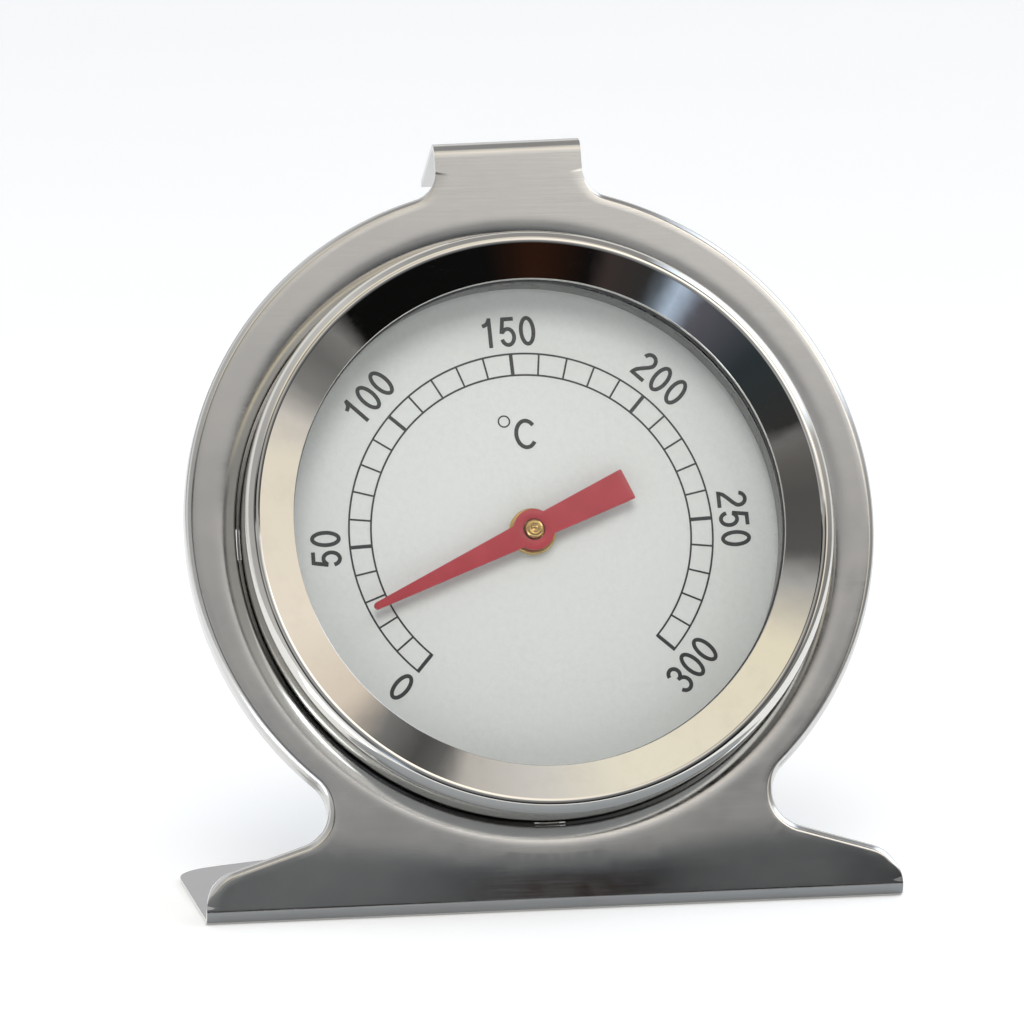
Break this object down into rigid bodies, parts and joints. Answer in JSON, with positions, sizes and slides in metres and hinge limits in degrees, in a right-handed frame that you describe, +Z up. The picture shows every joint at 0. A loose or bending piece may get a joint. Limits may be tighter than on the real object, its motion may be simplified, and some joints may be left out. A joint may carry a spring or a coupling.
{
  "type": "oven thermometer",
  "caption": "Round bimetal oven thermometer with a glazed dial, clamped in a leaning folded steel stand with a flat foot and a rack hook on top.",
  "frame": {"origin": "middle of the bounding box, on the surface the foot rests on", "axes": "+Z up, the dial faces -Y and leans back by 20.5 degrees, +X to the right of someone who reads the dial"},
  "size_m": [0.062, 0.0354, 0.0657],
  "materials": {
    "brushed_stainless": "satin brushed stainless sheet",
    "polished_stainless": "mirror polished stainless",
    "plated_steel": "bright plated steel sheet",
    "window_glass": "clear flat glass",
    "dark_seal": "matte heat-proof ring",
    "silver_dial": "matte silver lacquer with black scale print",
    "red_lacquer": "satin red lacquer",
    "brass": "turned brass",
    "bimetal_strip": "rolled bimetal strip"
  },
  "bodies": {
    "stand": {"stand_plate": "brushed_stainless", "bezel_ring": "polished_stainless", "glass_gasket": "dark_seal", "front_glass": "window_glass", "spacer_ring": "plated_steel", "dial_plate": "silver_dial", "bearing_bush": "brass", "bush_washer": "plated_steel", "bush_nut": "brass", "rear_bush": "brass", "movement_bracket": "plated_steel", "bimetal_coil": "bimetal_strip", "coil_rivet": "plated_steel", "rear_case": "plated_steel"},
    "pointer_shaft": {"pointer": "red_lacquer", "spindle": "brass", "spindle_clip": "plated_steel", "coil_collet": "brass"}
  },
  "joints": [
    {"name": "pointer_turn", "type": "hinge", "parent": "stand", "child": "pointer_shaft", "pos_m": [0, -0.00412, 0.03225], "axis": [0, 0.9367, -0.3502], "range_deg": [-23.9, 246.1], "deforming": ["bimetal_coil"]}
  ]
}
